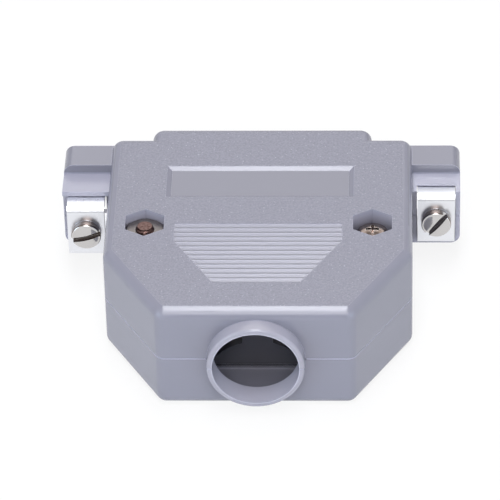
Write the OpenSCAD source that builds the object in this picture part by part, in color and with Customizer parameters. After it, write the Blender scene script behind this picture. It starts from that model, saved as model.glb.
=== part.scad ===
// Two-shell hood for a 25-way D-sub cable connector.
// The mating plane is y = 0, the cable leaves towards -y, and the shells part at z = 0.

/* [Connector] */
// Distance between the two jackscrews
jack_spacing = 47.04; // [44:0.01:64]
// Height of the connector flange that the tabs close over
flange_height = 12.55; // [12:0.05:13]
// Distance of the connector's rear body from the jackscrew axes
mouth_margin = 2.9; // [2.7:0.01:4]
// Height of the pocket for the connector's rear body
mouth_height = 10.9; // [10:0.1:11.6]
// Depth of the pocket for the connector's rear body
mouth_depth = 4; // [3.4:0.1:4.4]

/* [Body] */
// Gap between the straight sides and the brackets
side_gap = 0.77; // [0.2:0.01:2]
// Overall thickness of the closed hood
body_thickness = 15.5; // [14:0.1:20]
// Length from the mating plane to the cable face
body_length = 38.55; // [33:0.05:48]
// Length of the straight sides, before they slant in
side_length = 25.7; // [23.5:0.1:30]
// How far each side slants in towards the cable face
nose_slant = 7.65; // [5:0.05:8.5]
// Radius of every outside edge
edge_radius = 1.5; // [0.6:0.1:1.8]
// Wall thickness of the mouldings
wall = 1.2; // [0.9:0.05:1.5]

// Distance of the flange tab's ends from the straight sides
tab_inset = 5.4; // [3:0.1:10]
// How far the tab reaches over the flange
tab_reach = 2.36; // [1:0.02:4]

/* [Ears] */
// Width of the ears outside the brackets
ear_lip = 0.73; // [0.5:0.01:2]
// Length of the ears from the mating plane
ear_length = 7.5; // [6:0.1:9]
// Length of the thick block behind the flange
ear_block_length = 4.5; // [4.5:0.1:6]
// Half height of the thick block
ear_block_half = 6.2; // [5.6:0.05:6.4]
// Half height of the upper shell's thin part where it leaves the block
ear_band_half = 4.75; // [4.5:0.05:5.2]
// Half height of the lower shell's rounded thin part
ear_plain_half = 4.6; // [4.5:0.05:5.2]
// Drop of the sloping thin part over its length
ear_band_drop = 0.8; // [0.2:0.05:1]
// Reach of the roofed thin part past the ear
ear_roof_reach = 1.15; // [0.2:0.05:1.5]
// Length of the notch that frees the bracket leg
ear_notch = 1.15; // [0.3:0.05:2]
// Radius of the outer edge of the block and of the rounded thin part
ear_radius = 1.3; // [0.4:0.1:2]

/* [Cable outlet] */
// Outside diameter of the outlet collar
collar_diameter = 12.7; // [11:0.1:14]
// Bore of the outlet collar
outlet_bore = 11.24; // [9:0.02:11.6]
// Reach of the collar past the cable face
collar_reach = 2.13; // [1:0.01:5]
// Rounding of the collar's outer rim
collar_rim = 0.35; // [0.1:0.05:0.5]
// Depth of the notch where the collar halves meet
seam_notch = 0.3; // [0.1:0.05:0.5]

/* [Label and grip] */
// Distance of the label recess from the straight sides
label_inset = 7.73; // [5:0.01:12]
// Length of the label recess at the surface
label_length = 7; // [4:0.1:9]
// Distance of the label recess from the mating plane
label_offset = 6.8; // [5.5:0.1:8]
// Depth of the label recess
label_depth = 0.38; // [0.2:0.02:0.7]
// Run of the slanted walls of the label recess
label_slant = 0.66; // [0.1:0.02:1]
// Distance of the grip field from the hexagon pockets
grip_margin = 1.04; // [0.5:0.01:4]
// Distance of the grip field from the mating plane
grip_offset = 19.75; // [18:0.05:22]
// Straight length of the grip field before it narrows
grip_straight = 3.7; // [1:0.1:6]
// Pitch of the grip teeth
grip_pitch = 0.98; // [0.6:0.02:1.6]
// Number of grip teeth
grip_teeth = 13; // [5:1:16]
// Depth of each grip tooth at its valley
grip_depth = 0.3; // [0.1:0.02:0.45]
// Depth of each grip tooth at its crest
grip_crest = 0.06; // [0.02:0.01:0.1]

/* [Shell screws] */
// Distance of the shell screws from the straight sides
shell_screw_inset = 5.25; // [5:0.05:8]
// Distance of the shell screws from the mating plane
shell_screw_offset = 19.5; // [17.5:0.1:21]
// Thread diameter of the shell screws
shell_thread = 2.5; // [2:0.1:3]
// Width across flats of the shell nuts
shell_nut_flats = 5; // [4:0.1:5.4]
// Height of the shell nuts
shell_nut_height = 2; // [1.4:0.1:2.4]
// Head diameter of the shell screws
shell_head = 4.5; // [3.6:0.1:4.9]
// Head height of the shell screws
shell_head_height = 2.2; // [1.2:0.1:2.6]
// Depth of the hexagon pockets in the shells
pocket_depth = 3.2; // [3:0.1:4.2]
// Length of thread that shows past the nut
thread_show = 0.6; // [0.1:0.1:1.5]

/* [Jackscrews] */
// Thread diameter of the jackscrews
jack_thread = 2.84; // [2.4:0.02:3.1]
// Neck diameter that turns in the bracket
jack_neck = 2.2; // [1.8:0.02:2.3]
// Head diameter of the jackscrews
jack_head = 4; // [3.2:0.1:4.6]
// Head height of the jackscrews
jack_head_height = 1.3; // [0.9:0.05:2]
// Length of the jackscrews under the head
jack_length = 13.7; // [11:0.1:18]
// Width of the screwdriver slots
jack_slot = 0.76; // [0.5:0.02:1]
// Depth of the screwdriver slots
jack_slot_depth = 0.65; // [0.3:0.05:0.8]
// Turn of the left screwdriver slot
left_slot_angle = 16; // [-90:1:90]
// Turn of the right screwdriver slot
right_slot_angle = 51; // [-90:1:90]

/* [Brackets] */
// Width of the bent brackets
bracket_width = 5; // [4:0.1:5.2]
// Height over both legs
bracket_height = 7.9; // [7.4:0.05:8.4]
// Sheet thickness
bracket_sheet = 0.8; // [0.5:0.05:0.9]
// Depth from the web to the leg ends
bracket_depth = 8.64; // [8.2:0.02:10]
// Inside radius of the bends
bracket_bend = 0.15; // [0.1:0.05:0.6]
// Height of the toe at each leg end
bracket_toe = 0.45; // [0.2:0.05:0.5]
// Travel of the brackets in the ears
bracket_travel = 3.1; // [1:0.1:3.2]
// How far the left bracket is drawn out
left_drawn_out = 2.65; // [0:0.05:3]
// How far the right bracket is drawn out
right_drawn_out = 0; // [0:0.05:3]

/* [Cable clamp] */
// Distance of the clamp bars from the mating plane
clamp_offset = 29.35; // [28.5:0.05:30]
// Length of the clamp bars along the cable
clamp_length = 2.6; // [1.8:0.1:3]
// Distance of the clamp screws from the edge of the outlet bore
clamp_screw_margin = 3.58; // [3.3:0.01:4]
// Height of the screw pads of the bars
clamp_pad = 4; // [3.4:0.1:4.4]
// Height of the hump under the cable
clamp_hump = 4.15; // [3.4:0.05:4.6]
// Radius of the hump under the cable
clamp_hump_radius = 7.2; // [6.4:0.1:9]
// Width of the clamping tooth
clamp_tooth_width = 4; // [2:0.1:5]
// Distance of the tooth's top below the cable axis
clamp_tooth_drop = 1; // [0.5:0.1:3]
// Radius of the arch over the cable
clamp_arch_radius = 7.2; // [6.4:0.1:9]
// Thread diameter of the clamp screws
clamp_thread = 2; // [1.6:0.1:2.2]
// Width across flats of the clamp nuts
clamp_nut_flats = 4; // [3.2:0.1:4.2]
// Height of the clamp nuts
clamp_nut_height = 1.6; // [1.2:0.1:1.8]
// Head diameter of the clamp screws
clamp_head = 3.6; // [3:0.1:3.9]
// Head height of the clamp screws
clamp_head_height = 1.4; // [1:0.1:1.6]

/* [Fits] */
// Gap between a bracket and its channel on each side
slide_gap = 0.1; // [0.05:0.01:0.2]
// Radial gap of the jackscrew neck in the bracket
turn_gap = 0.06; // [0.02:0.01:0.1]
// Radial gap of screws in nuts
thread_gap = 0.03; // [0.01:0.01:0.1]
// Gap of nuts and heads in their hexagon pockets
pocket_gap = 0.06; // [0.03:0.01:0.15]
// Gap between parts that are only laid together
rest_gap = 0.03; // [0.01:0.01:0.1]

/* [Hidden] */
$fn = 64;
eps = 0.02;
half_thick = body_thickness / 2;
ceiling = half_thick - wall;
jack_x = jack_spacing / 2;
half_body = jack_x - bracket_width / 2 - side_gap;
body_width = 2 * half_body;
half_nose = half_body - nose_slant;
half_tab = half_body - tab_inset;
half_mouth = jack_x - mouth_margin;
half_span = jack_x + bracket_width / 2 + ear_lip;
ear_start = half_body - wall;
side_slope = nose_slant / (body_length - side_length);
channel_half = bracket_width / 2 + slide_gap;
channel_top = bracket_height / 2 + slide_gap;
toe_top = channel_top + bracket_toe;
toe_pocket = bracket_travel + bracket_sheet + 2 * slide_gap;
collar_radius = collar_diameter / 2;
bore_radius = outlet_bore / 2;
pocket_radius = (shell_nut_flats / 2 + pocket_gap) / cos(30);
boss_radius = pocket_radius + wall * 0.85;
hole_gap = 0.15;
pocket_floor = half_thick - pocket_depth;
shell_x = half_body - shell_screw_inset;
half_label = half_body - label_inset;
half_grip = shell_x - pocket_radius - grip_margin;
flange_gap = flange_height / 2 + slide_gap;
pin_x = half_body - wall - 1.9;
pin_y = -side_length + 2.4;
pin_radius = 0.8;
pin_height = 1.2;
rib = wall * 0.8;
tongue = wall * 0.45;
tongue_height = 0.6;
tongue_start = -side_length + 0.6;
tongue_end = -ear_length - 1.2;
seam = 0.05;
seam_depth = 0.15;
clamp_floor = half_thick - wall - rest_gap;
clamp_x = bore_radius + clamp_screw_margin;
clamp_pocket = clamp_nut_height + 0.15;
clamp_pocket_radius = (clamp_nut_flats / 2 + pocket_gap) / cos(30);
clamp_pad_radius = clamp_pocket_radius + wall * 0.6;
clamp_y = -clamp_offset - rest_gap - clamp_pad_radius;
clamp_seat = clamp_floor - clamp_pocket;
jack_seat = -(bracket_depth + slide_gap);
jack_neck_length = bracket_sheet + 0.9;
shell_screw_length = 2 * (pocket_floor + rest_gap) + shell_nut_height + thread_show;
clamp_screw_length = 2 * (clamp_seat + rest_gap) + clamp_nut_height + 0.1;

plastic = [0.62, 0.62, 0.67];
plated = [0.8, 0.8, 0.82];

// ---- outline helpers -------------------------------------------------------

function unit(v) = v / norm(v);

// Corner i of a convex outline, moved in by d from both of its edges.
function inset_corner(p, i, d) =
  let (
    n = len(p),
    a = unit(p[i] - p[(i + n - 1) % n]),
    b = unit(p[(i + 1) % n] - p[i]),
    s = a[0] * b[1] - a[1] * b[0]
  )
  p[i] + (b - a) * d / s;

body_outline = [
  [-half_nose, -body_length],
  [half_nose, -body_length],
  [half_body, -side_length],
  [half_body, 0],
  [-half_body, 0],
  [-half_body, -side_length]
];

tab_outline = [
  [-half_tab, -2 * edge_radius - 1],
  [half_tab, -2 * edge_radius - 1],
  [half_tab, tab_reach],
  [-half_tab, tab_reach]
];

// Outward normal of a unit vector along a counter-clockwise outline.
function outward(v) = [v[1], -v[0]];

// Wedge that reaches from the centre of corner i out past the outline.
module corner_wedge(outline, i, r) {
  n = len(outline);
  into = outward(unit(outline[i] - outline[(i + n - 1) % n]));
  from = outward(unit(outline[(i + 1) % n] - outline[i]));
  centre = inset_corner(outline, i, r);
  polygon([
    centre,
    centre + 2 * r * into,
    centre + 2 * (outline[i] - centre),
    centre + 2 * r * from
  ]);
}

// Leaves a quarter-round edge along the top of side i.
module round_side(outline, i, r, height) {
  start = inset_corner(outline, i, r);
  end = inset_corner(outline, (i + 1) % len(outline), r);
  run = end - start;
  out = 2 * r * outward(unit(run));
  difference() {
    translate([0, 0, height - r])
      linear_extrude(r + 1)
        polygon([start, start + out, end + out, end]);
    translate([start[0], start[1], height - r])
      rotate([0, 0, atan2(run[1], run[0])])
        translate([-1, 0, 0])
          rotate([0, 90, 0])
            cylinder(r = r, h = norm(run) + 2);
  }
}

// Leaves a round upright at corner i.
module round_upright(outline, i, r, height) {
  centre = inset_corner(outline, i, r);
  difference() {
    translate([0, 0, -1])
      linear_extrude(height + 2)
        corner_wedge(outline, i, r);
    translate([centre[0], centre[1], -2])
      cylinder(r = r, h = height + 4);
  }
}

// Leaves a ball on top of the round upright at corner i.
module round_ball(outline, i, r, height) {
  centre = inset_corner(outline, i, r);
  out = outline[i] - centre;
  difference() {
    translate([0, 0, height - r])
      linear_extrude(r + 1)
        corner_wedge(outline, i, r);
    translate([centre[0], centre[1], height - r])
      rotate([90, 0, atan2(out[1], out[0]) + 180])
        sphere(r);
  }
}

// A slab on z = 0 with every upright and top edge rounded by r.
module soft_slab(outline, r, height) {
  difference() {
    linear_extrude(height)
      polygon(outline);
    for (i = [0 : len(outline) - 1]) {
      round_upright(outline, i, r, height);
      round_ball(outline, i, r, height);
      round_side(outline, i, r, height);
    }
  }
}

// ---- shells ----------------------------------------------------------------

// Part of an ear with a rounded outer edge, from the mating plane back.
module rounded_ear(half, length) {
  rotate([90, 0, 0])
    linear_extrude(length)
      union() {
        translate([ear_start, 0])
          square([half_span - ear_radius - ear_start, half]);
        translate([ear_start, 0])
          square([half_span - ear_start, half - ear_radius]);
        translate([half_span - ear_radius, half - ear_radius])
          circle(ear_radius);
      }
}

// Thin parts of the upper shell's ears, seen from the side.
module sloping_band() {
  polygon([
    [-ear_length, 0],
    [0, 0],
    [0, ear_band_half],
    [-ear_block_length, ear_band_half],
    [-ear_length, ear_band_half - ear_band_drop]
  ]);
}

module roofed_band() {
  union() {
    translate([-ear_length, 0])
      square([ear_length, ear_band_half]);
    translate([-ear_length - ear_roof_reach, channel_top])
      square([ear_length, ear_band_half - channel_top]);
  }
}

// Ears on the right side; they are mirrored for the left.
module upper_ear() {
  rounded_ear(ear_block_half, ear_block_length);
  translate([ear_start, 0, 0])
    rotate([90, 0, 90])
      linear_extrude(half_span - ear_start)
        children();
}

module lower_ear() {
  rounded_ear(ear_block_half, ear_block_length);
  rounded_ear(ear_plain_half, ear_length);
}

// Channel for one bracket, open along the ear.
module bracket_channel() {
  translate([jack_x - channel_half, -ear_length - ear_roof_reach - 1, -1])
    cube([2 * channel_half, ear_length + ear_roof_reach + 2, channel_top + 1]);
  translate([jack_x - channel_half, -toe_pocket, -1])
    cube([2 * channel_half, toe_pocket + 1, toe_top + 1]);
}

module label_recess() {
  y0 = -label_offset - label_length;
  intersection() {
    translate([0, y0, half_thick])
      rotate([-90, 0, 0])
        linear_extrude(label_length)
          polygon([
            [-half_label - label_slant, -label_depth],
            [half_label + label_slant, -label_depth],
            [half_label - label_slant, label_depth],
            [-half_label + label_slant, label_depth]
          ]);
    translate([-half_label, 0, half_thick])
      rotate([90, 0, 90])
        linear_extrude(2 * half_label)
          polygon([
            [y0 - label_slant, label_depth],
            [y0 + label_length + label_slant, label_depth],
            [y0 + label_length - label_slant, -label_depth],
            [y0 + label_slant, -label_depth]
          ]);
  }
}

// Saw-tooth grip field, its slopes falling towards the cable.
module grip_field() {
  field = grip_teeth * grip_pitch;
  half_end = half_grip - (field - grip_straight) * side_slope;
  intersection() {
    translate([0, 0, half_thick - 1])
      linear_extrude(2)
        polygon([
          [-half_grip, -grip_offset],
          [-half_grip, -grip_offset - grip_straight],
          [-half_end, -grip_offset - field],
          [half_end, -grip_offset - field],
          [half_grip, -grip_offset - grip_straight],
          [half_grip, -grip_offset]
        ]);
    translate([-half_body, 0, half_thick])
      rotate([90, 0, 90])
        linear_extrude(body_width)
          polygon(concat(
            [[-grip_offset, 1]],
            [for (k = [0 : grip_teeth - 1]) each [
              [-grip_offset - k * grip_pitch, -grip_crest],
              [-grip_offset - (k + 1) * grip_pitch + grip_crest, -grip_depth]
            ]],
            [[-grip_offset - field, -grip_crest], [-grip_offset - field, 1]]
          ));
  }
}

module screw_boss() {
  translate([0, 0, rest_gap])
    cylinder(r = boss_radius, h = ceiling + wall / 2 - rest_gap);
}

module screw_boss_bore() {
  translate([0, 0, -1])
    cylinder(r = shell_thread / 2 + hole_gap, h = half_thick + 2);
  translate([0, 0, pocket_floor])
    rotate([0, 0, 30])
      cylinder(r = pocket_radius, h = pocket_depth + 1, $fn = 6);
}

// Rib that ties a boss to the side wall.
module boss_rib() {
  translate([shell_x, -shell_screw_offset - rib / 2, rest_gap])
    cube([half_body - wall / 2 - shell_x, rib, ceiling]);
}

// Rib across the shell behind the clamp, with a way through for the cable.
module cable_rib() {
  reach = half_nose + (body_length - clamp_offset) * side_slope - wall / 2;
  difference() {
    translate([-reach, -clamp_offset + rest_gap, rest_gap])
      cube([2 * reach, rib, ceiling]);
    translate([0, -clamp_offset + rib + 1, 0])
      rotate([90, 0, 0])
        cylinder(r = bore_radius, h = rib + 2);
  }
}

// Sill in front of a clamp bar and stops beside its pads.
module clamp_nest() {
  sill = wall * 0.4;
  sill_half = clamp_x - clamp_pad_radius - hole_gap;
  stop = clamp_x + clamp_pad_radius + rest_gap;
  translate([-sill_half, -clamp_offset - clamp_length - rest_gap - rib / 2, ceiling - sill])
    cube([2 * sill_half, rib / 2, sill + wall / 2]);
  for (side = [0, 1])
    mirror([side, 0, 0])
      translate([stop, clamp_y - rib, clamp_seat])
        cube([rib / 2, 2 * rib, ceiling - clamp_seat + wall / 2]);
}

// Thin step round the parting edge, so that the seam shows as a fine line.
module seam_relief() {
  corners = len(body_outline) - 1;
  inner = [for (i = [0 : corners]) inset_corner(body_outline, i, seam_depth)];
  difference() {
    translate([-body_width, -2 * body_length, -1])
      cube([2 * body_width, 2 * body_length + tab_reach, seam + 1]);
    difference() {
      translate([0, 0, -2])
        linear_extrude(seam + 3)
          polygon(inner);
      for (i = [0 : corners])
        translate([0, 0, -2])
          round_upright(inner, i, edge_radius - seam_depth, seam + 3);
    }
  }
}

module collar() {
  rotate([90, 0, 0])
    translate([0, 0, body_length - wall])
      rotate_extrude()
        union() {
          square([collar_radius, collar_reach + wall - collar_rim]);
          square([collar_radius - collar_rim, collar_reach + wall]);
          translate([collar_radius - collar_rim, collar_reach + wall - collar_rim])
            circle(collar_rim);
        }
}

// Groove on the right that takes the tongue of the other shell.
module tongue_groove() {
  translate([half_body - wall - slide_gap, tongue_start - slide_gap, -1])
    cube([
      tongue + 2 * slide_gap,
      tongue_end - tongue_start + 2 * slide_gap,
      tongue_height + slide_gap + 1
    ]);
}

// Body that both shells share. Its children are the ears. Turned half a turn about
// the cable axis it closes its twin.
module half_shell() {
  difference() {
    union() {
      difference() {
        union() {
          soft_slab(body_outline, edge_radius, half_thick);
          soft_slab(tab_outline, edge_radius, half_thick);
          children();
        }
        translate([-half_span, 0, -1])
          cube([2 * half_span, tab_reach + 1, flange_gap + 1]);
        translate([0, 0, -1])
          linear_extrude(ceiling + 1)
            polygon(concat(
              [for (i = [0 : 2]) inset_corner(body_outline, i, wall)],
              [[half_body - wall, -mouth_depth], [-half_body + wall, -mouth_depth]],
              [inset_corner(body_outline, 5, wall)]
            ));
        translate([-half_mouth, -mouth_depth - eps, -1])
          cube([2 * half_mouth, mouth_depth + 1, mouth_height / 2 + 1]);
      }
      intersection() {
        collar();
        translate([-body_width, -2 * body_length, 0])
          cube([2 * body_width, 2 * body_length, half_thick]);
      }
      for (side = [-1, 1])
        translate([side * shell_x, -shell_screw_offset, 0])
          screw_boss();
      boss_rib();
      mirror([1, 0, 0])
        boss_rib();
      cable_rib();
      clamp_nest();
      translate([-half_body + wall - tongue, tongue_start, -tongue_height])
        cube([tongue, tongue_end - tongue_start, tongue_height + 1]);
      translate([-pin_x, pin_y, -pin_height])
        cylinder(r = pin_radius, h = ceiling + pin_height + wall / 2);
      for (side = [-1, 1])
        translate([side * pin_x, pin_y, rest_gap])
          cylinder(r = pin_radius + wall * 0.6, h = ceiling + wall / 2 - rest_gap);
    }
    for (side = [-1, 1])
      translate([side * shell_x, -shell_screw_offset, 0])
        screw_boss_bore();
    for (side = [0, 1])
      mirror([side, 0, 0])
        bracket_channel();
    translate([0, -body_length + wall + 1, 0])
      rotate([90, 0, 0])
        cylinder(r = bore_radius, h = collar_reach + wall + 2);
    for (side = [-1, 1])
      translate([side * collar_radius, -body_length - collar_reach - 1, 0])
        rotate([-90, 0, 0])
          rotate([0, 0, 45])
            translate([-seam_notch / 2, -seam_notch / 2, 0])
              cube([seam_notch, seam_notch, collar_reach + 1 + 2 * seam_depth]);
    label_recess();
    grip_field();
    seam_relief();
    tongue_groove();
    translate([pin_x, pin_y, -1])
      cylinder(r = pin_radius + slide_gap, h = pin_height + slide_gap + 1);
  }
}

// The sloping ear is notched over the leg of its bracket.
module upper_shell() {
  color(plastic)
    difference() {
      half_shell() {
        upper_ear()
          sloping_band();
        mirror([1, 0, 0])
          upper_ear()
            roofed_band();
      }
      translate([jack_x - channel_half, -ear_length - 1, 0])
        cube([2 * channel_half, 1 + ear_notch, ear_block_half]);
    }
}

module lower_shell() {
  color(plastic)
    rotate([0, 180, 0])
      half_shell() {
        lower_ear();
        mirror([1, 0, 0])
          lower_ear();
      }
}

// ---- brackets and jackscrews ----------------------------------------------

// U-bracket seen from the side, its web at y = 0 and its legs towards +y.
module bracket_profile() {
  bend = bracket_sheet + bracket_bend;
  top = bracket_height / 2;
  for (side = [0, 1])
    mirror([0, side])
      union() {
        translate([0, -eps])
          square([bracket_sheet, top - bend + eps]);
        translate([bend, top - bracket_sheet])
          square([bracket_depth - bend, bracket_sheet]);
        translate([bracket_depth - bracket_sheet, top - bracket_sheet])
          square([bracket_sheet, bracket_sheet + bracket_toe - slide_gap]);
        difference() {
          intersection() {
            translate([bend, top - bend])
              circle(bend);
            translate([0, top - bend])
              square([bend, bend]);
          }
          translate([bend, top - bend])
            circle(bend - bracket_sheet);
        }
      }
}

module bracket(drawn_out) {
  color(plated)
    translate([-bracket_width / 2, jack_seat - drawn_out, 0])
      difference() {
        rotate([90, 0, 90])
          linear_extrude(bracket_width)
            bracket_profile();
        translate([bracket_width / 2, bracket_sheet + 1, 0])
          rotate([90, 0, 0])
            cylinder(r = jack_neck / 2 + turn_gap, h = bracket_sheet + 2);
      }
}

// Jackscrew with its head underside at y = 0 and its thread towards +y.
module jackscrew(drawn_out, slot_angle) {
  round_off = 0.3;
  tip = 0.5;
  runout = 0.4;
  color(plated)
    translate([0, jack_seat - drawn_out - rest_gap, 0])
      difference() {
        rotate([-90, 0, 0])
          rotate_extrude()
            union() {
              translate([0, -jack_head_height + round_off])
                square([jack_head / 2, jack_head_height - round_off]);
              translate([0, -jack_head_height])
                square([jack_head / 2 - round_off, jack_head_height]);
              translate([jack_head / 2 - round_off, -jack_head_height + round_off])
                circle(round_off);
              translate([0, -eps])
                square([jack_neck / 2, jack_length - 2 * tip]);
              polygon([
                [0, jack_neck_length],
                [jack_neck / 2, jack_neck_length],
                [jack_thread / 2, jack_neck_length + runout],
                [jack_thread / 2, jack_length - tip],
                [jack_thread / 2 - tip, jack_length],
                [0, jack_length]
              ]);
            }
        rotate([0, -slot_angle, 0])
          translate([-jack_head, -jack_head_height - 1, -jack_slot / 2])
            cube([2 * jack_head, jack_slot_depth + 1, jack_slot]);
      }
}

module left_bracket() {
  translate([-jack_x, 0, 0])
    bracket(left_drawn_out);
}

module right_bracket() {
  translate([jack_x, 0, 0])
    bracket(right_drawn_out);
}

module left_jackscrew() {
  translate([-jack_x, 0, 0])
    jackscrew(left_drawn_out, left_slot_angle);
}

module right_jackscrew() {
  translate([jack_x, 0, 0])
    jackscrew(right_drawn_out, right_slot_angle);
}

// ---- small screws and nuts -------------------------------------------------

// Cross-slotted pan-head screw, head underside at z = 0 and thread towards -z.
module small_screw(thread, head, head_height, length) {
  dome = head * 0.62;
  tip = 0.15;
  blade = head * 0.16;
  recess_floor = head_height * 0.3;
  recess_radius = head * 0.3;
  color(plated)
    difference() {
      union() {
        intersection() {
          cylinder(r = head / 2, h = head_height);
          translate([0, 0, head_height - dome])
            sphere(dome);
        }
        translate([0, 0, -length + tip])
          cylinder(r = thread / 2, h = length - tip + head_height / 4);
        translate([0, 0, -length])
          cylinder(r1 = thread / 2 - tip, r2 = thread / 2, h = tip);
      }
      intersection() {
        translate([0, 0, recess_floor])
          cylinder(r1 = blade / 2, r2 = recess_radius, h = head_height - recess_floor + eps);
        union() {
          translate([-head / 2, -blade / 2, 0])
            cube([head, blade, 2 * head_height]);
          translate([-blade / 2, -head / 2, 0])
            cube([blade, head, 2 * head_height]);
        }
      }
    }
}

// Hexagon nut with both faces turned down at the corners, standing on z = 0.
module small_nut(thread, flats, height) {
  face = flats * 0.47;
  lean = height * 1.7;
  color(plated)
    difference() {
      intersection() {
        rotate([0, 0, 30])
          cylinder(r = flats / 2 / cos(30), h = height, $fn = 6);
        cylinder(r1 = face + lean, r2 = face, h = height);
        cylinder(r1 = face, r2 = face + lean, h = height);
      }
      translate([0, 0, -1])
        cylinder(r = thread / 2 + thread_gap, h = height + 2);
    }
}

module shell_screw() {
  small_screw(shell_thread, shell_head, shell_head_height, shell_screw_length);
}

module shell_nut() {
  small_nut(shell_thread, shell_nut_flats, shell_nut_height);
}

module clamp_screw() {
  small_screw(clamp_thread, clamp_head, clamp_head_height, clamp_screw_length);
}

module clamp_nut() {
  small_nut(clamp_thread, clamp_nut_flats, clamp_nut_height);
}

// The right screw goes in from above.
module right_shell_screw() {
  translate([shell_x, -shell_screw_offset, pocket_floor + rest_gap])
    shell_screw();
}

// The left screw goes in from below.
module left_shell_screw() {
  translate([-shell_x, -shell_screw_offset, -pocket_floor - rest_gap])
    rotate([0, 180, 0])
      shell_screw();
}

module left_shell_nut() {
  translate([-shell_x, -shell_screw_offset, pocket_floor + rest_gap])
    shell_nut();
}

module right_shell_nut() {
  translate([shell_x, -shell_screw_offset, -pocket_floor - rest_gap - shell_nut_height])
    shell_nut();
}

// ---- cable clamp -----------------------------------------------------------

// Clamp bars seen along the cable, pressed against the ceiling of their shell.
module hump_profile() {
  saddle = clamp_x - clamp_pad_radius;
  intersection() {
    translate([-saddle, 0])
      square([2 * saddle, clamp_floor]);
    translate([0, clamp_floor - clamp_hump + clamp_hump_radius])
      circle(clamp_hump_radius);
  }
  translate([-clamp_tooth_width / 2, clamp_tooth_drop])
    square([clamp_tooth_width, clamp_floor - clamp_tooth_drop]);
  translate([-clamp_x, clamp_floor - clamp_pocket])
    square([2 * clamp_x, clamp_pocket]);
}

module arch_profile() {
  difference() {
    translate([-clamp_x, clamp_floor - clamp_pad])
      square([2 * clamp_x, clamp_pad]);
    translate([0, clamp_floor - wall - clamp_arch_radius])
      circle(clamp_arch_radius);
  }
}

// A bar with a screw pad at each end; the pockets take nuts or screw heads.
module clamp_bar() {
  color(plastic)
    difference() {
      union() {
        translate([0, -clamp_offset - rest_gap, 0])
          rotate([90, 0, 0])
            linear_extrude(clamp_length - rest_gap)
              children();
        for (side = [-1, 1])
          translate([side * clamp_x, clamp_y, clamp_floor - clamp_pad])
            cylinder(r = clamp_pad_radius, h = clamp_pad);
      }
      for (side = [-1, 1])
        translate([side * clamp_x, clamp_y, 0]) {
          cylinder(r = clamp_thread / 2 + hole_gap, h = half_thick);
          translate([0, 0, clamp_seat])
            rotate([0, 0, 30])
              cylinder(r = clamp_pocket_radius, h = clamp_pocket + 1, $fn = 6);
        }
    }
}

module upper_clamp_bar() {
  clamp_bar()
    arch_profile();
}

module lower_clamp_bar() {
  rotate([0, 180, 0])
    clamp_bar()
      hump_profile();
}

module right_clamp_screw() {
  translate([clamp_x, clamp_y, clamp_seat + rest_gap])
    clamp_screw();
}

module left_clamp_screw() {
  translate([-clamp_x, clamp_y, clamp_seat + rest_gap])
    clamp_screw();
}

module right_clamp_nut() {
  translate([clamp_x, clamp_y, -clamp_seat - rest_gap - clamp_nut_height])
    clamp_nut();
}

module left_clamp_nut() {
  translate([-clamp_x, clamp_y, -clamp_seat - rest_gap - clamp_nut_height])
    clamp_nut();
}

// ---- scene -----------------------------------------------------------------

upper_shell();
lower_shell();
left_bracket();
right_bracket();
left_jackscrew();
right_jackscrew();
left_shell_screw();
right_shell_screw();
left_shell_nut();
right_shell_nut();
upper_clamp_bar();
lower_clamp_bar();
left_clamp_screw();
right_clamp_screw();
left_clamp_nut();
right_clamp_nut();
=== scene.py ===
"""D-sub connector hood: finishes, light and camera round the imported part. Metres, +Z up."""

import math

import bmesh
import bpy
from mathutils import Matrix, Vector

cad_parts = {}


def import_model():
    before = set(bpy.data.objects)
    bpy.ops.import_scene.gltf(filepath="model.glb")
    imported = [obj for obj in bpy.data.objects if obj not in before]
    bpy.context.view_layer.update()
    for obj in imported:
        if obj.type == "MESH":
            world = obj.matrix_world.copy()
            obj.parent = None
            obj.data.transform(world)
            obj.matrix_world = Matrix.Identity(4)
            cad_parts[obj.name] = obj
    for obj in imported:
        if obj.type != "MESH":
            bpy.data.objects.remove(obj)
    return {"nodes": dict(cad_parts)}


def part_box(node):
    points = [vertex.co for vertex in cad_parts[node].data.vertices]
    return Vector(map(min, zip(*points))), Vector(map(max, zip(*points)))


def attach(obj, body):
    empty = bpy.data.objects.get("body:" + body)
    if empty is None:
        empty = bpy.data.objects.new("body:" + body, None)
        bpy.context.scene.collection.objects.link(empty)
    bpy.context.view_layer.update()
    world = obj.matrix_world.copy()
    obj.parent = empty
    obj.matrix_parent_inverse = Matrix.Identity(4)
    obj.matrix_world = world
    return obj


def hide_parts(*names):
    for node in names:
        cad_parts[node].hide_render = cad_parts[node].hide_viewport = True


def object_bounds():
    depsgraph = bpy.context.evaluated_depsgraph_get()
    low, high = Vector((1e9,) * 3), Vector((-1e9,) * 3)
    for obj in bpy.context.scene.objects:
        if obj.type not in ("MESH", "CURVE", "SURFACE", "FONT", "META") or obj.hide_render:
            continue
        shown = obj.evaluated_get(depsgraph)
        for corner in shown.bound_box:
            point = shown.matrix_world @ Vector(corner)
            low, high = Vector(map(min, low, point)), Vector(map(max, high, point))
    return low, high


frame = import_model()
cad_box = [list(corner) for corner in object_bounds()]
nodes = frame["nodes"]

MM = 0.001
SIDES = ("left", "right")

# ---- what part.scad says and no box in the frame gives ------------------------------------------

GRIP_START = 19.75 * MM
GRIP_PITCH = 0.98 * MM
GRIP_TEETH = 13
JACK_HEAD_HEIGHT = 1.3 * MM
JACK_SLOT = 0.76 * MM
JACK_NECK_RADIUS = 1.1 * MM
JACK_NECK_LENGTH = 1.7 * MM
JACK_THREAD_RADIUS = 1.42 * MM
SHELL_HEAD_HEIGHT = 2.2 * MM
SHELL_THREAD_RADIUS = 1.25 * MM
CLAMP_HEAD_HEIGHT = 1.4 * MM
CLAMP_THREAD_RADIUS = 1 * MM
HEAD_UP = ("right_shell_screw", "left_clamp_screw", "right_clamp_screw")


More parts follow.
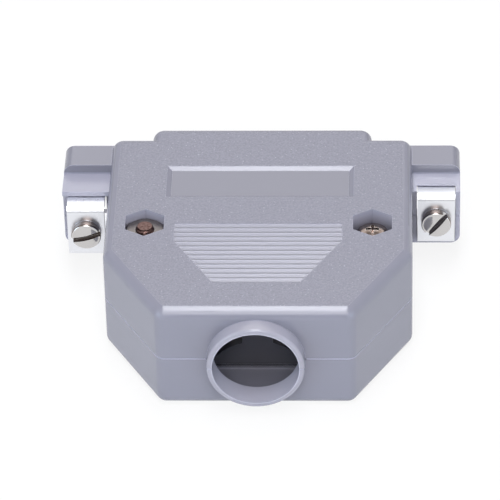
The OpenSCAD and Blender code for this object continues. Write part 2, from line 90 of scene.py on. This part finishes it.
# ---- shader helpers -----------------------------------------------------------------------------


class Nodes:
    """Short calls that add nodes to a tree. A value is a number, a colour or an output."""

    def __init__(self, tree):
        self.tree = tree

    def node(self, kind, **settings):
        made = self.tree.nodes.new(kind)
        for name, value in settings.items():
            setattr(made, name, value)
        return made

    def put(self, value, node, socket):
        if isinstance(value, (int, float)):
            node.inputs[socket].default_value = value
        elif isinstance(value, tuple):
            node.inputs[socket].default_value = (*value, 1)
        else:
            self.tree.links.new(value, node.inputs[socket])

    def span(self, value, low, high, to_low, to_high):
        """Maps low..high onto to_low..to_high, clamped."""
        made = self.node("ShaderNodeMapRange")
        self.put(value, made, "Value")
        self.put(low, made, "From Min")
        self.put(high, made, "From Max")
        self.put(to_low, made, "To Min")
        self.put(to_high, made, "To Max")
        return made.outputs["Result"]

    def rising(self, value, low, high):
        return self.span(value, low, high, 0, 1)

    def falling(self, value, low, high):
        return self.span(value, low, high, 1, 0)

    def math(self, operation, a, b=0):
        made = self.node("ShaderNodeMath", operation=operation)
        self.put(a, made, 0)
        self.put(b, made, 1)
        return made.outputs[0]

    def product(self, first, *others):
        for other in others:
            first = self.math("MULTIPLY", first, other)
        return first

    def mix(self, factor, a, b):
        """Mixes two colours."""
        made = self.node("ShaderNodeMix", data_type="RGBA")
        self.put(factor, made, "Factor")
        self.put(a, made, 6)
        self.put(b, made, 7)
        return made.outputs[2]


class Shader(Nodes):
    """A material with a Principled shader, and the patterns that feed it."""

    def __init__(self, name, color, metallic=0.0):
        self.material = bpy.data.materials.new(name)
        self.material.use_nodes = True
        super().__init__(self.material.node_tree)
        self.shader = self.tree.nodes["Principled BSDF"]
        self.into(color, "Base Color")
        self.into(metallic, "Metallic")
        self.place = self.node("ShaderNodeTexCoord").outputs["Object"]

    def into(self, value, socket):
        self.put(value, self.shader, socket)

    def axis(self, name):
        """One coordinate of the surface point, in metres."""
        split = self.node("ShaderNodeSeparateXYZ")
        self.put(self.place, split, 0)
        return split.outputs[name]

    def noise(self, size, detail=2.0, roughness=0.5, stretch=(1, 1, 1)):
        """Noise whose features are about `size` metres across, from 0 to 1."""
        mapping = self.node("ShaderNodeMapping")
        mapping.inputs["Scale"].default_value = stretch
        self.put(self.place, mapping, "Vector")
        made = self.node("ShaderNodeTexNoise")
        self.put(1 / size, made, "Scale")
        self.put(detail, made, "Detail")
        self.put(roughness, made, "Roughness")
        self.put(mapping.outputs["Vector"], made, "Vector")
        return made.outputs["Fac"]

    def pits(self, size, smoothness):
        """Cells about `size` metres across: 0 at their centres, towards 1 at their edges."""
        made = self.node("ShaderNodeTexVoronoi", feature="SMOOTH_F1")
        self.put(1 / size, made, "Scale")
        self.put(smoothness, made, "Smoothness")
        self.put(self.place, made, "Vector")
        return made.outputs["Distance"]

    def edges(self, radius):
        """1 on sharp edges, 0 on flat faces."""
        bevel = self.node("ShaderNodeBevel", samples=6)
        self.put(radius, bevel, "Radius")
        dot = self.node("ShaderNodeVectorMath", operation="DOT_PRODUCT")
        self.put(bevel.outputs["Normal"], dot, 0)
        self.put(self.node("ShaderNodeNewGeometry").outputs["Normal"], dot, 1)
        return self.span(dot.outputs["Value"], 0.999, 0.93, 0, 1)

    def bump(self, height, distance, strength):
        made = self.node("ShaderNodeBump")
        self.put(distance, made, "Distance")
        self.put(strength, made, "Strength")
        self.put(height, made, "Height")
        return made.outputs["Normal"]


# ---- the hood's plastic -------------------------------------------------------------------------

PLASTIC = (0.235, 0.232, 0.285)
# Painted light: the collar paler than the hood, and the outlet's bore paler still, where light falls on
# them.
COLLAR_PAINTED_LIGHT = (0.335, 0.325, 0.385)
TOP = cad_box[1][2]

# Where the masks below begin and end, and how far they take to fade.
FADE = 0.05 * MM
SOFT_FADE = 0.1 * MM
SKIN_LOW = TOP - 0.05 * MM
SKIN_HIGH = TOP - 0.02 * MM
RECESS_FLOOR = TOP - 0.4 * MM
LABEL_LOW = TOP - 0.34 * MM
LABEL_HIGH = TOP - 0.3 * MM
GRIP_END = GRIP_START + GRIP_TEETH * GRIP_PITCH
HALF_GRIP = 11.1 * MM
EAR_START = 20.4 * MM
BAND_TOP = 5 * MM
POCKET_REACH = 3.2 * MM
POCKET_DEPTH = 2.4 * MM
CAVITY_MOUTH = 4 * MM
CAVITY_DARK = 9 * MM
CAVITY_HALF = 12 * MM
CAVITY_TOP = 6.3 * MM
BORE_START = 34.8 * MM
BORE_PALE = 37 * MM
BORE_RADIUS = 5.7 * MM
COLLAR_START = 38.57 * MM
SEAM_LOW = 0.05 * MM
SEAM_HIGH = 0.08 * MM


def tint(color, factor):
    return tuple(min(1.0, factor * c) for c in color)


def shade(factor):
    return tint(PLASTIC, factor)


class HoodShader(Shader):
    """The hood's plastic, with a mask for each place on it: 1 inside the place, 0 outside."""

    def __init__(self, name):
        super().__init__(name, PLASTIC)
        self.height = self.math("ABSOLUTE", self.axis("Z"))
        self.along = self.math("MULTIPLY", self.axis("Y"), -1)
        self.aside = self.math("ABSOLUTE", self.axis("X"))

    def broad(self):
        """The two broad outer faces."""
        return self.rising(self.height, SKIN_LOW, SKIN_HIGH)

    def below_broad(self):
        return self.falling(self.height, SKIN_LOW, SKIN_HIGH)

    def shallow(self):
        """Heights down to the floors of the grip and the label recess."""
        return self.rising(self.height, RECESS_FLOOR - FADE, RECESS_FLOOR)

    def ears(self):
        return self.rising(self.aside, EAR_START - SOFT_FADE, EAR_START + SOFT_FADE)

    def ear_bands(self):
        """The middle of the ears, up to BAND_TOP on either side of the seam."""
        low = self.falling(self.height, BAND_TOP - SOFT_FADE, BAND_TOP + SOFT_FADE)
        return self.product(self.ears(), low)

    def grip(self):
        return self.product(
            self.shallow(),
            self.below_broad(),
            self.rising(self.along, GRIP_START - FADE, GRIP_START),
            self.falling(self.along, GRIP_END, GRIP_END + FADE),
            self.falling(self.aside, HALF_GRIP, HALF_GRIP + SOFT_FADE),
        )

    def along_tooth(self):
        """Runs from 0 to 1 over each tooth of the grip."""
        from_start = self.math("SUBTRACT", self.along, GRIP_START)
        return self.math("FRACT", self.math("DIVIDE", from_start, GRIP_PITCH))

    def label(self):
        """The floor of the label recess."""
        return self.product(
            self.shallow(),
            self.falling(self.height, LABEL_LOW, LABEL_HIGH),
            self.falling(self.along, GRIP_START - FADE, GRIP_START),
        )

    def pocket(self, side):
        """The walls of the pocket round one shell screw, fading with depth: where painted light goes."""
        low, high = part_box(f"{side}_shell_screw")
        middle = (low + high) / 2
        off_x = self.math("ABSOLUTE", self.math("SUBTRACT", self.axis("X"), middle.x))
        off_y = self.math("ABSOLUTE", self.math("SUBTRACT", self.axis("Y"), middle.y))
        return self.product(
            self.falling(self.math("MAXIMUM", off_x, off_y), POCKET_REACH - SOFT_FADE, POCKET_REACH),
            self.below_broad(),
            self.span(self.height, TOP - POCKET_DEPTH, TOP, 0.25, 1),
        )

    def cavity(self):
        """The inside, where little light reaches."""
        return self.product(
            self.falling(self.along, BORE_START - 2 * SOFT_FADE, BORE_START),
            self.rising(self.along, CAVITY_MOUTH, CAVITY_DARK),
            self.falling(self.height, CAVITY_TOP - SOFT_FADE, CAVITY_TOP),
            self.falling(self.aside, CAVITY_HALF - 5 * SOFT_FADE, CAVITY_HALF),
        )

    def bore(self):
        """The wall of the cable outlet."""
        squares = self.math("ADD", self.math("POWER", self.aside, 2), self.math("POWER", self.height, 2))
        return self.product(
            self.falling(self.math("SQRT", squares), BORE_RADIUS, BORE_RADIUS + FADE),
            self.rising(self.along, BORE_START, BORE_PALE),
        )

    def collar(self):
        return self.rising(self.along, COLLAR_START, COLLAR_START + SOFT_FADE)

    def seam(self):
        """The joint between the shells."""
        return self.falling(self.height, SEAM_LOW, SEAM_HIGH)


def grained_plastic():
    """Grey plastic: spark-eroded grain on the broad faces, smooth and glossier where it is cut in, with
    light and shade painted in by place.
    """
    s = HoodShader("grained_plastic")
    s.into(1.6, "IOR")
    broad = s.broad()
    band = s.ear_bands()
    grip = s.grip()
    tooth = s.along_tooth()
    grained = s.math("MAXIMUM", broad, s.math("MULTIPLY", band, 0.6))
    grain = s.rising(s.noise(0.26 * MM, roughness=0.6), 0.33, 0.67)
    specks = s.falling(s.pits(0.6 * MM, 0.02), 0.06, 0.16)
    # Painted highlight on each tooth's crest, painted shade in its valley.
    crest = s.product(grip, s.falling(tooth, 0.02, 0.22))
    valley = s.product(grip, s.rising(tooth, 0.46, 0.64))
    # Paler edges: partly wear, partly a painted highlight on the rims.
    edge_wear_and_glint = s.product(s.edges(0.12 * MM), s.falling(grip, 0, 1))

    skin = s.mix(s.product(grain, grained), PLASTIC, shade(1.13))
    skin = s.mix(broad, skin, s.mix(grain, shade(0.8), shade(1.08)))
    # Painted light: the ear bands paler, as their sloping faces catch the overhead light.
    skin = s.mix(band, skin, shade(1.5))
    skin = s.mix(s.math("SUBTRACT", s.ears(), band), skin, shade(0.9))
    skin = s.mix(s.product(specks, broad), skin, shade(1.8))
    skin = s.mix(s.label(), skin, shade(0.84))
    # Painted light: the pocket walls paler, most near their top.
    for side in SIDES:
        skin = s.mix(s.pocket(side), skin, shade(1.9))
    # Painted shade: the inside darkened where little light reaches.
    skin = s.mix(s.cavity(), skin, shade(0.3))
    # Painted light: the collar and the lower bore paler, as where light reaches them.
    skin = s.mix(s.collar(), skin, COLLAR_PAINTED_LIGHT)
    skin = s.mix(s.bore(), skin, tint(COLLAR_PAINTED_LIGHT, 1.45))
    # Paler edges: partly wear, partly a painted highlight.
    skin = s.mix(edge_wear_and_glint, skin, shade(1.6))
    # Painted highlight along the grip's crests and painted shade in its valleys.
    skin = s.mix(crest, skin, shade(1.35))
    skin = s.mix(valley, skin, shade(0.62))
    # Painted highlight: a pale line along the seam, as its rounded edges catch the light.
    s.into(s.mix(s.seam(), skin, shade(2.4)), "Base Color")

    matt = s.span(broad, 0, 1, 0.22, 0.4)
    s.into(s.math("ADD", matt, s.span(valley, 0, 1, 0, 0.2)), "Roughness")
    relief = s.product(s.math("ADD", grain, specks), grained)
    s.into(s.bump(relief, 0.022 * MM, 0.9), "Normal")
    return s.material


# ---- finishes of the small pieces ---------------------------------------------------------------


def finish(name, tone, size, roughness, stain=None, worn_and_lit_tone=None, edge_wear_and_glint=0.05 * MM, bump=None,
           stretch=(1, 1, 1), metallic=1.0):
    """Finish that drifts over patches about `size` across, in roughness and towards the stain.

    Edges within a given width turn towards a paler edge tone, partly wear and partly a painted highlight,
    and `bump` is a depth and a strength."""
    s = Shader(name, tone, metallic)
    drift = s.noise(size, detail=3, stretch=stretch)
    s.into(s.span(drift, 0.3, 0.7, *roughness), "Roughness")
    skin = tone
    if stain:
        skin = s.mix(s.rising(drift, 0.35, 0.65), skin, stain)
    # Paler edges: partly wear, partly a painted highlight.
    if worn_and_lit_tone:
        skin = s.mix(s.edges(edge_wear_and_glint), skin, worn_and_lit_tone)
    s.into(skin, "Base Color")
    if bump:
        s.into(s.bump(drift, *bump), "Normal")
    return s.material


def smooth_plastic():
    """Clamp bars, painted dark as the shade inside the hood."""
    return finish("smooth_plastic", shade(0.35), 0.8 * MM, (0.28, 0.4), worn_and_lit_tone=shade(0.6),
                  edge_wear_and_glint=0.08 * MM, bump=(0.01 * MM, 0.4), metallic=0.0)


def satin_nickel():
    """Nickel-plated sheet: faint rolling lines along the strip, bright sheared edges that are partly a
    painted highlight.
    """
    return finish("satin_nickel", (0.83, 0.84, 0.88), 0.5 * MM, (0.27, 0.36), worn_and_lit_tone=(0.94, 0.94, 0.95),
                  edge_wear_and_glint=0.06 * MM, bump=(0.004 * MM, 0.3), stretch=(6, 0.4, 0.4))


def bright_nickel():
    """Polished turned steel under nickel."""
    return finish("bright_nickel", (0.58, 0.565, 0.56), 0.9 * MM, (0.07, 0.14), worn_and_lit_tone=(0.92, 0.91, 0.9),
                  bump=(0.008 * MM, 0.3))


def drum_steel_painted_dark():
    """Sides of the jackscrew heads: turned steel painted darker than their faces as a painted dark
    reflection, with edges painted bright as highlights.
    """
    return finish("drum_steel_painted_dark", (0.2, 0.165, 0.15), 0.7 * MM, (0.12, 0.22), worn_and_lit_tone=(0.8, 0.78, 0.76))


def warm_nickel_shaded():
    """Heads of the small screws: plated steel with a warm cast, painted dark as the shade where they sit,
    with edges painted bright as rim highlights.
    """
    return finish("warm_nickel_shaded", (0.16, 0.12, 0.1), 0.5 * MM, (0.09, 0.2), stain=(0.28, 0.23, 0.21),
                  worn_and_lit_tone=(0.9, 0.87, 0.85), bump=(0.012 * MM, 0.4))


def bare_steel_shaded():
    """Threads and cut ends of the small screws: thin plate over a coppery ground, painted near black as
    the shade where they sit.
    """
    return finish("bare_steel_shaded", (0.07, 0.035, 0.03), 0.3 * MM, (0.24, 0.4), stain=(0.17, 0.11, 0.1),
                  bump=(0.01 * MM, 0.4))


def dull_zinc_shaded():
    """Pressed nuts: duller plate, painted darker still as the shade where they sit."""
    return finish("dull_zinc_shaded", (0.2, 0.18, 0.175), 0.6 * MM, (0.28, 0.42), worn_and_lit_tone=(0.5, 0.48, 0.47),
                  edge_wear_and_glint=0.06 * MM, bump=(0.01 * MM, 0.4))


def dress(material, *names):
    for name in names:
        mesh = nodes[name].data
        mesh.materials.clear()
        mesh.materials.append(material)


dress(grained_plastic(), "upper_shell", "lower_shell")
dress(smooth_plastic(), "upper_clamp_bar", "lower_clamp_bar")
dress(satin_nickel(), "left_bracket", "right_bracket")
dress(dull_zinc_shaded(), *(f"{side}_{what}" for side in SIDES for what in ("shell_nut", "clamp_nut")))
BRIGHT = bright_nickel()
DRUM = drum_steel_painted_dark()
WARM = warm_nickel_shaded()
BARE_SHADED = bare_steel_shaded()


# ---- turned and threaded pieces -----------------------------------------------------------------

UNC_PITCH = 25.4 * MM / 40
M25_PITCH = 0.45 * MM
M2_PITCH = 0.4 * MM
THREAD_SIDES = 48
PITCH_STEPS = 8
THREAD_DEPTH = 0.6
FLANK_SLOPE = 1.25
WELD = 0.001 * MM
OVERLAP = 0.1 * MM
CRISP = math.radians(32)
JACK_DOME = 0.34 * MM
JACK_DOME_STEPS = 12
JACK_RIM = 0.3 * MM
JACK_SLOT_DEPTH = 0.85 * MM


def added(name, data):
    piece = bpy.data.objects.new(name, data)
    bpy.context.collection.objects.link(piece)
    return piece


def ringed(name, rings, material):
    """Closed mesh through rings of points, capped at both ends."""
    mesh = bmesh.new()
    rows = [[mesh.verts.new(point) for point in ring] for ring in rings]
    for low, high in zip(rows, rows[1:]):
        for k, vertex in enumerate(low):
            after = (k + 1) % len(low)
            mesh.faces.new((vertex, low[after], high[after], high[k]))
    mesh.faces.new(reversed(rows[0]))
    mesh.faces.new(rows[-1])
    bmesh.ops.recalc_face_normals(mesh, faces=mesh.faces)
    data = bpy.data.meshes.new(name)
    mesh.to_mesh(data)
    mesh.free()
    data.materials.append(material)
    return added(name, data)


def turned(name, profile, material, sides=96):
    """Solid turned about Z through (radius, height) points."""
    turns = [2 * math.pi * k / sides for k in range(sides)]
    rings = [[(r * math.cos(t), r * math.sin(t), z) for t in turns] for r, z in profile]
    return ringed(name, rings, material)


def arc(centre, radius, start, end, steps=8):
    """Points on an arc of a profile, in degrees."""
    turns = [math.radians(start + (end - start) * k / steps) for k in range(steps + 1)]
    return [(centre[0] + radius * math.cos(t), centre[1] + radius * math.sin(t)) for t in turns]


def threaded(name, radius, pitch, low, high, material):
    """Right-hand thread along Z with flat crests, tapered off at both ends."""
    depth = THREAD_DEPTH * pitch
    steps = max(2, round((high - low) / pitch * PITCH_STEPS))
    rings = []
    for row in range(steps + 1):
        z = low + (high - low) * row / steps
        fade = min(1.0, (z - low) / pitch, (high - z) / pitch)
        ring = []
        for k in range(THREAD_SIDES):
            turn = 2 * math.pi * k / THREAD_SIDES
            phase = (z / pitch - k / THREAD_SIDES) % 1
            crest = min(1.0, FLANK_SLOPE * abs(2 * phase - 1))
            r = radius - depth + depth * crest * fade
            ring.append((r * math.cos(turn), r * math.sin(turn), z))
        rings.append(ring)
    return ringed(name, rings, material)


def weld(data):
    """Removes the doubled points and the slivers that a cut leaves."""
    mesh = bmesh.new()
    mesh.from_mesh(data)
    bmesh.ops.remove_doubles(mesh, verts=mesh.verts, dist=WELD)
    bmesh.ops.dissolve_degenerate(mesh, edges=mesh.edges, dist=WELD)
    mesh.to_mesh(data)
    mesh.free()


def cut(piece, tool):
    """Cuts the tool out of the piece and deletes the tool."""
    modifier = piece.modifiers.new("cut", "BOOLEAN")
    modifier.operation = "DIFFERENCE"
    modifier.solver = "EXACT"
    modifier.object = tool
    bpy.context.view_layer.update()
    evaluated = piece.evaluated_get(bpy.context.evaluated_depsgraph_get())
    data = bpy.data.meshes.new_from_object(evaluated)
    piece.modifiers.clear()
    weld(data)
    piece.data = data
    bpy.data.objects.remove(tool)


def joined(name, pieces):
    """One object from several, each keeping its materials, with crisp edges kept sharp."""
    mesh = bmesh.new()
    materials = []
    for piece in pieces:
        first = len(mesh.faces)
        mesh.from_mesh(piece.data)
        mesh.faces.ensure_lookup_table()
        for face in mesh.faces[first:]:
            face.material_index += len(materials)
        materials += piece.data.materials
        bpy.data.objects.remove(piece)
    data = bpy.data.meshes.new(name)
    mesh.to_mesh(data)
    mesh.free()
    for material in materials:
        data.materials.append(material)
    data.shade_smooth()
    data.set_sharp_from_angle(angle=CRISP)
    return added(name, data)


def box_tool(size, turn):
    bpy.ops.mesh.primitive_cube_add(size=1)
    tool = bpy.context.object
    tool.data.transform(Matrix.Diagonal((*size, 1)))
    tool.data.transform(Matrix.Rotation(turn, 4, "Z"))
    return tool


def jack_head(radius, slot_turn):
    """Slotted head along +Z from its domed face, the sides and the slot darker than the face."""
    dome_radius = radius - 0.5 * JACK_RIM
    back_rim = JACK_RIM / 3
    back_hole = JACK_NECK_RADIUS + 0.1 * MM
    shares = [k / JACK_DOME_STEPS for k in range(1, JACK_DOME_STEPS)]
    head = turned("head", [
        *((dome_radius * share, JACK_DOME * share ** 2) for share in shares),
        *arc((radius - JACK_RIM, JACK_DOME + 0.6 * JACK_RIM), JACK_RIM, -55, 0),
        *arc((radius - back_rim, JACK_HEAD_HEIGHT - back_rim), back_rim, 0, 90, 3),
        (back_hole, JACK_HEAD_HEIGHT),
    ], BRIGHT)
    cut(head, box_tool((3 * radius, JACK_SLOT, 2 * JACK_SLOT_DEPTH), slot_turn))
    # The sides and the slot take the drum steel, painted dark as a reflection.
    head.data.materials.append(DRUM)
    for face in head.data.polygons:
        if abs(face.normal.z) < 0.7:
            face.material_index = 1
    return head


def jackscrew(side, slot_turn):
    """Slotted jackscrew with a real 4-40 thread, its axis along Z until it is placed."""
    node = f"{side}_jackscrew"
    low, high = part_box(node)
    neck_end = JACK_HEAD_HEIGHT + JACK_NECK_LENGTH
    head = jack_head((high.x - low.x) / 2, slot_turn)
    shank = turned("shank", [
        (JACK_NECK_RADIUS, JACK_HEAD_HEIGHT - OVERLAP),
        (JACK_NECK_RADIUS, neck_end),
        (JACK_NECK_RADIUS - 0.05 * MM, neck_end + 0.4 * MM),
    ], BRIGHT)
    rod = threaded("rod", JACK_THREAD_RADIUS, UNC_PITCH, neck_end, high.y - low.y, BRIGHT)
    made = joined(f"{side}_jackscrew_piece", [head, shank, rod])
    face_middle = Vector(((low.x + high.x) / 2, low.y, (low.z + high.z) / 2))
    made.data.transform(Matrix.Translation(face_middle) @ Matrix.Rotation(math.radians(-90), 4, "X"))
    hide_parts(node)
    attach(made, node)


def pan_head(radius, height, thread):
    """Pan head along +Z: a flat underside, a rounded rim and a slightly crowned top."""
    foot = 0.12 * MM
    rim = 0.55 * height
    rim_in = 0.9 * rim
    rim_up = 0.86 * rim
    turns = [math.radians(12 * k) for k in range(1, 8)]
    side = [(radius - rim_in * (1 - math.cos(t)), height - rim + rim_up * math.sin(t)) for t in turns]
    edge, shoulder = side[-1]
    shares = [1 - k / 5 for k in range(1, 5)]
    return turned("head", [
        (thread - 0.1 * MM, 0.0),
        (radius - foot, 0.0),
        (radius, foot),
        (radius, height - rim),
        *side,
        *((edge * share, height - (height - shoulder) * share ** 2) for share in shares),
        (0.02 * MM, height),
    ], WARM)


def cross_blade(reach, head_height, turn):
    """One blade of the cross recess: a square spike, squeezed flat, from above the head's top."""
    tip = (0.16 * reach, head_height - 0.62 * head_height)
    mouth = (reach, head_height + 0.3 * MM)
    squeezed = Matrix.Diagonal((1.25, 0.3, 1, 1))
    blade = turned("blade", [tip, mouth], WARM, sides=4)
    blade.data.transform(Matrix.Rotation(math.radians(45), 4, "Z"))
    blade.data.transform(squeezed)
    blade.data.transform(Matrix.Rotation(turn, 4, "Z"))
    return blade


def pan_screw(node, head_height, thread, pitch):
    """Cross-recessed pan-head screw, head up along Z until it is placed."""
    low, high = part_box(node)
    shank = high.z - low.z - head_height
    head = pan_head((high.x - low.x) / 2, head_height, thread)
    for turn in (0, math.pi / 2):
        cut(head, cross_blade(thread, head_height, turn))
    rod = threaded("rod", thread, pitch, -shank, OVERLAP, BARE_SHADED)
    made = joined(f"{node}_piece", [head, rod])
    middle = (low + high) / 2
    if node in HEAD_UP:
        made.data.transform(Matrix.Translation((middle.x, middle.y, high.z - head_height)))
    else:
        seat = Matrix.Translation((middle.x, middle.y, low.z + head_height))
        made.data.transform(seat @ Matrix.Rotation(math.pi, 4, "Y"))
    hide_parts(node)
    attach(made, "hood")


jackscrew("left", slot_turn=math.radians(-16))
jackscrew("right", slot_turn=math.radians(-51))
for side in SIDES:
    pan_screw(f"{side}_shell_screw", SHELL_HEAD_HEIGHT, SHELL_THREAD_RADIUS, M25_PITCH)
    pan_screw(f"{side}_clamp_screw", CLAMP_HEAD_HEIGHT, CLAMP_THREAD_RADIUS, M2_PITCH)


# ---- stage, light, camera -----------------------------------------------------------------------

LIT_POINT = Vector((0, -0.02, 0))
TOWARDS_CAMERA = Vector((0, -0.8, 0.6))
WHITE = (1.0, 1.0, 1.0)
DAYLIGHT = (0.955, 0.965, 1.0)
COOL = (0.66, 0.84, 1.0)
PAPER_GLOW = 0.86
FLOOR_GAP = 0.02 * MM


def paper():
    """White floor that keeps a soft shadow and fades to plain white."""
    s = Shader("white_paper", (0.9, 0.9, 0.9))
    s.into(0.9, "Roughness")
    s.into(s.bump(s.noise(2 * MM, detail=4), 0.02 * MM, 0.2), "Normal")
    path = s.node("ShaderNodeLightPath")
    seen = s.math("MAXIMUM", path.outputs["Is Camera Ray"], path.outputs["Is Glossy Ray"])
    blend = s.node("ShaderNodeMixShader")
    s.put(s.math("MULTIPLY", seen, PAPER_GLOW), blend, 0)
    s.put(s.shader.outputs[0], blend, 1)
    s.put(s.node("ShaderNodeEmission").outputs[0], blend, 2)
    s.put(blend.outputs[0], s.tree.nodes["Material Output"], "Surface")
    return s.material


def floor(z):
    bpy.ops.mesh.primitive_plane_add(size=6, location=(0, 0, z))
    plane = bpy.context.object
    plane.name = "floor"
    plane.data.materials.append(paper())


def world(ambient):
    """White to the camera, even light on surfaces, and pale in reflections but for a dark patch
    behind the camera."""
    made = bpy.data.worlds.new("studio")
    made.use_nodes = True
    n = Nodes(made.node_tree)
    towards = n.node("ShaderNodeVectorMath", operation="DOT_PRODUCT")
    n.put(n.node("ShaderNodeTexCoord").outputs["Generated"], towards, 0)
    towards.inputs[1].default_value = TOWARDS_CAMERA.normalized()
    outside, inside = math.cos(math.radians(36)), math.cos(math.radians(16))
    beyond = n.falling(towards.outputs["Value"], outside, inside)
    reflected = n.mix(beyond, (0.13, 0.1, 0.085), (0.75, 0.75, 0.75))
    path = n.node("ShaderNodeLightPath")
    lit = n.mix(path.outputs["Is Glossy Ray"], (ambient, ambient, ambient), reflected)
    n.put(n.mix(path.outputs["Is Camera Ray"], lit, WHITE), n.tree.nodes["Background"], "Color")
    bpy.context.scene.world = made


def softbox(name, azimuth, elevation, distance, size, radiance, color=WHITE):
    """Area lamp aimed at the object: azimuth 0 is the camera's side, and turns towards +X."""
    data = bpy.data.lights.new(name, "AREA")
    data.shape = "RECTANGLE"
    data.size, data.size_y = size
    data.energy = math.pi * size[0] * size[1] * radiance
    data.color = color
    lamp = bpy.data.objects.new(name, data)
    bpy.context.collection.objects.link(lamp)
    turn, rise = math.radians(azimuth), math.radians(elevation)
    away = Vector((math.sin(turn) * math.cos(rise), -math.cos(turn) * math.cos(rise), math.sin(rise)))
    lamp.visible_camera = False
    lamp.location = LIT_POINT + distance * away
    lamp.rotation_euler = away.to_track_quat("Z", "Y").to_euler()


def camera():
    """Camera with the place, direction and lens that fit the photograph."""
    data = bpy.data.cameras.new("camera")
    data.sensor_width = 36
    data.lens = 288
    data.clip_start = 0.05
    made = bpy.data.objects.new("camera", data)
    bpy.context.collection.objects.link(made)
    made.location = (16.781 * MM, -441.048 * MM, 322.39 * MM)
    made.rotation_euler = [math.radians(angle) for angle in (52.8831, 1.1788, 1.5518)]
    bpy.context.scene.camera = made


floor(cad_box[0][2] - FLOOR_GAP)
world(ambient=0.25)
softbox("overhead", azimuth=0, elevation=86, distance=0.5, size=(0.13, 0.5), radiance=9.3, color=DAYLIGHT)
softbox("front", azimuth=0, elevation=42, distance=0.62, size=(0.36, 0.3), radiance=4.2)
softbox("far", azimuth=180, elevation=38, distance=0.6, size=(0.5, 0.3), radiance=1.15)
softbox("fill_left", azimuth=-50, elevation=12, distance=0.6, size=(0.45, 0.3), radiance=2.65, color=COOL)
softbox("fill_right", azimuth=50, elevation=12, distance=0.6, size=(0.45, 0.3), radiance=2.1, color=COOL)
camera()
bpy.context.scene.view_settings.view_transform = "Standard"
